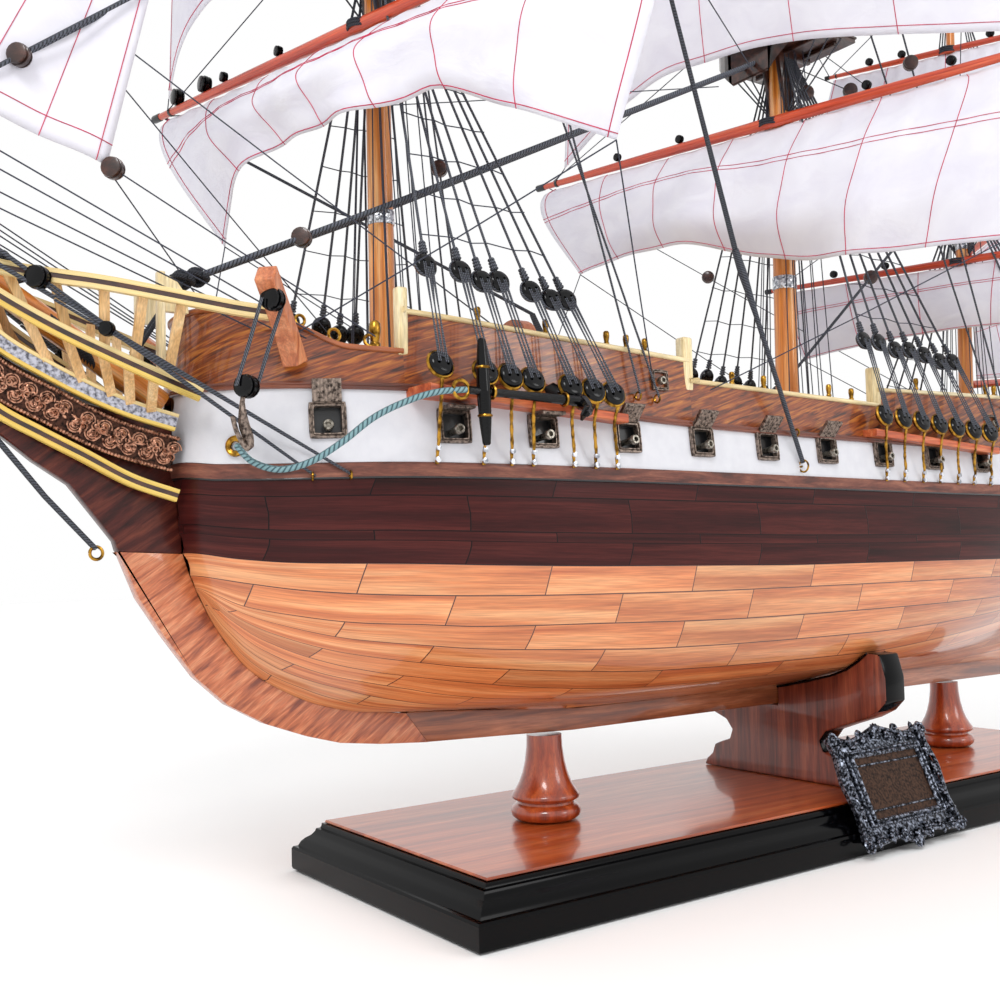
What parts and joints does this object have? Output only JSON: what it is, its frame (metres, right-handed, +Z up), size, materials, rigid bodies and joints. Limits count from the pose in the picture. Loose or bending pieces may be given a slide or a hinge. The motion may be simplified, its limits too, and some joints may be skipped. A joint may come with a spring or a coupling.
{
  "type": "wooden display model of a three-masted sailing frigate on its stand",
  "caption": "Wooden display model of a square-rigged sailing frigate with cloth sails, on a turned-pedestal stand with a blank plaque.",
  "frame": {"origin": "middle of the underside of the stand's base", "axes": "+X towards the bow, +Y to port, +Z up"},
  "size_m": [0.9409, 0.3, 0.8292],
  "materials": {
    "black_lacquer": "gloss lacquer on wood",
    "red_veneer": "high gloss varnish",
    "turned_wood": "high gloss varnish",
    "walnut": "gloss varnish",
    "pewter": "antiqued casting",
    "hull_wood": "gloss varnish",
    "keel_wood": "gloss varnish",
    "dark_wood": "gloss varnish",
    "pale_wood": "satin",
    "mast_wood": "gloss varnish",
    "spar_paint": "satin paint",
    "cherry": "satin varnish",
    "black_paint": "satin",
    "rope": "laid cotton cord",
    "sail_cloth": "plain weave cotton"
  },
  "bodies": {
    "ship_and_stand": {"anchor_cable_port": "rope", "anchor_cable_starboard": "rope", "anchor_port": "black_paint", "anchor_starboard": "black_paint", "base_moulding": "black_lacquer", "base_top_panel": "red_veneer", "bowsprit": "mast_wood", "bulwarks": "dark_wood", "caprail": "pale_wood", "cathead_port": "cherry", "cathead_starboard": "cherry", "cradle_board": "walnut", "crossjack_sail": "sail_cloth", "crossjack_yard": "spar_paint", "fore_channel_port": "cherry", "fore_channel_starboard": "cherry", "fore_course": "sail_cloth", "fore_course_yard": "spar_paint", "fore_lower_mast": "mast_wood", "fore_topgallant": "sail_cloth", "fore_topgallant_yard": "spar_paint", "fore_topmast_stay": "black_paint", "fore_topsail": "sail_cloth", "fore_topsail_yard": "spar_paint", "fore_upper_mast": "mast_wood", "forecastle_deck": "pale_wood", "gaff": "spar_paint", "head_rails_port": "pale_wood", "head_rails_starboard": "pale_wood", "hull": "hull_wood", "inner_jib": "sail_cloth", "jib_stay": "black_paint", "keel_and_stem": "keel_wood", "main_channel_port": "cherry", "main_channel_starboard": "cherry", "main_course": "sail_cloth", "main_course_yard": "spar_paint", "main_lower_mast": "mast_wood", "main_stay": "black_paint", "main_topgallant": "sail_cloth", "main_topgallant_yard": "spar_paint", "main_topsail": "sail_cloth", "main_topsail_yard": "spar_paint", "main_upper_mast": "mast_wood", "mizzen_channel_port": "cherry", "mizzen_channel_starboard": "cherry", "mizzen_lower_mast": "mast_wood", "mizzen_topsail": "sail_cloth", "mizzen_topsail_yard": "spar_paint", "mizzen_upper_mast": "mast_wood", "nameplate": "pewter", "outer_jib": "sail_cloth", "pedestal_aft": "turned_wood", "pedestal_fore": "turned_wood", "quarterdeck": "pale_wood", "spanker": "sail_cloth", "spanker_boom": "spar_paint", "stern_gallery": "dark_wood"},
    "rudder": {"rudder": "keel_wood"},
    "helm_wheel": {"helm_wheel": "mast_wood"}
  },
  "joints": [
    {"name": "rudder_turn", "type": "hinge", "parent": "ship_and_stand", "child": "rudder", "pos_m": [-0.2745, 0, 0.106], "axis": [0, 0, 1], "range_deg": [-30, 30]},
    {"name": "helm_wheel_turn", "type": "hinge", "parent": "ship_and_stand", "child": "helm_wheel", "pos_m": [-0.206, 0, 0.212], "axis": [1, 0, 0], "continuous": true}
  ]
}
